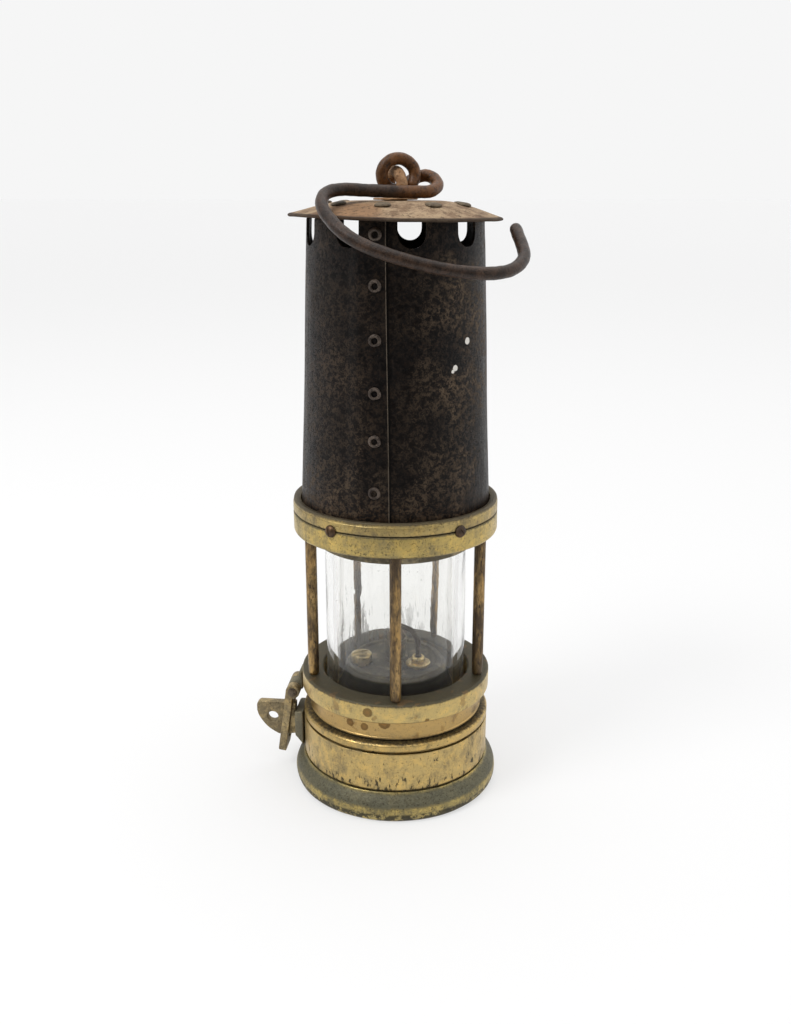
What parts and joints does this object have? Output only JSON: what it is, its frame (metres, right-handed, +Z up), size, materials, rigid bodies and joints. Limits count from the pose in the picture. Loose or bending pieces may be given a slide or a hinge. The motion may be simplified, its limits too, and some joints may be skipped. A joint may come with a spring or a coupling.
{
  "type": "miner's safety lamp",
  "caption": "Oil-burning miner's safety lamp: brass vessel and pillar frame, glass chimney, riveted iron bonnet with vents, swivelling wire hook and hasp lock.",
  "frame": {"origin": "centre of the flat base, on the surface that the lamp stands on", "axes": "+Z up along the lamp's axis towards the hook, -Y towards the front, where one pillar and the bonnet's seam face, and the hasp lock is on the -X side"},
  "size_m": [0.1113, 0.0985, 0.2656],
  "materials": {
    "brass": "aged brass with grey-green patina, worn bright",
    "brass_patina": "dark grey-green brass patina, matt",
    "brass_red": "reddish brown worn brass",
    "bonnet_iron": "dark brown-black iron sheet with mottled rust",
    "gauze_steel": "darkened steel wire gauze",
    "rusted_iron": "rough tan-brown rust",
    "hook_steel": "brown-grey steel wire, lightly rusted",
    "steel": "dull steel",
    "glass": "clear glass with wear and soot marks",
    "gasket": "compressed fibre",
    "wick": "charred woven cotton"
  },
  "bodies": {
    "lamp": {"vessel_foot": "brass_patina", "vessel_base_plate": "brass_patina", "vessel_body": "brass", "vessel_collar": "brass", "vessel_neck": "brass", "burner_deck": "brass_patina", "wick_tube": "brass_patina", "wick": "wick", "filler_plug": "brass", "pricker_tube": "brass_patina", "lower_ring": "brass", "lower_gasket": "gasket", "glass_chimney": "glass", "upper_gasket": "gasket", "pillar_1": "brass_red", "pillar_2": "brass_red", "pillar_3": "brass_red", "pillar_4": "brass_red", "pillar_5": "brass_red", "upper_ring": "brass", "glass_top_collar": "brass_patina", "gauze_seat": "brass_patina", "outer_gauze": "gauze_steel", "inner_gauze": "gauze_steel", "bonnet_ring": "brass", "ring_screw_1": "brass_red", "ring_screw_2": "brass_red", "ring_screw_3": "brass_red", "ring_screw_4": "brass_red", "ring_screw_5": "brass_red", "bonnet": "bonnet_iron", "seam_rivet_1": "bonnet_iron", "seam_rivet_2": "bonnet_iron", "seam_rivet_3": "bonnet_iron", "seam_rivet_4": "bonnet_iron", "seam_rivet_5": "bonnet_iron", "seam_rivet_6": "bonnet_iron", "crown_cap": "rusted_iron", "cap_rivet_1": "rusted_iron", "cap_rivet_2": "rusted_iron", "cap_rivet_3": "rusted_iron", "cap_rivet_4": "rusted_iron", "cap_rivet_5": "rusted_iron", "cap_rivet_6": "rusted_iron", "cap_rivet_7": "rusted_iron", "cap_rivet_8": "rusted_iron", "cap_rivet_9": "rusted_iron", "hasp_bracket": "brass_patina", "hasp_pin": "steel", "lock_boss": "brass_patina", "lock_ear": "brass_patina"},
    "swivel": {"swivel_eye": "rusted_iron", "swivel_washer": "steel"},
    "hook": {"hook": "hook_steel"},
    "hasp": {"hasp": "brass_patina"},
    "pricker": {"pricker": "steel"}
  },
  "joints": [
    {"name": "swivel_turn", "type": "hinge", "parent": "lamp", "child": "swivel", "pos_m": [0, 0, 0.2468], "axis": [0, 0, 1], "continuous": true},
    {"name": "hook_lift", "type": "hinge", "parent": "swivel", "child": "hook", "pos_m": [0, 0, 0.2518], "axis": [-0.9135, -0.4067, 0], "range_deg": [0, 100]},
    {"name": "hasp_swing", "type": "hinge", "parent": "lamp", "child": "hasp", "pos_m": [-0.04475, 0.0047, 0.0388], "axis": [0.1045, 0.9945, 0], "range_deg": [0, 120]},
    {"name": "pricker_slide", "type": "slide", "parent": "lamp", "child": "pricker", "axis": [0, 0, 1], "range_m": [0, 0.005]}
  ]
}
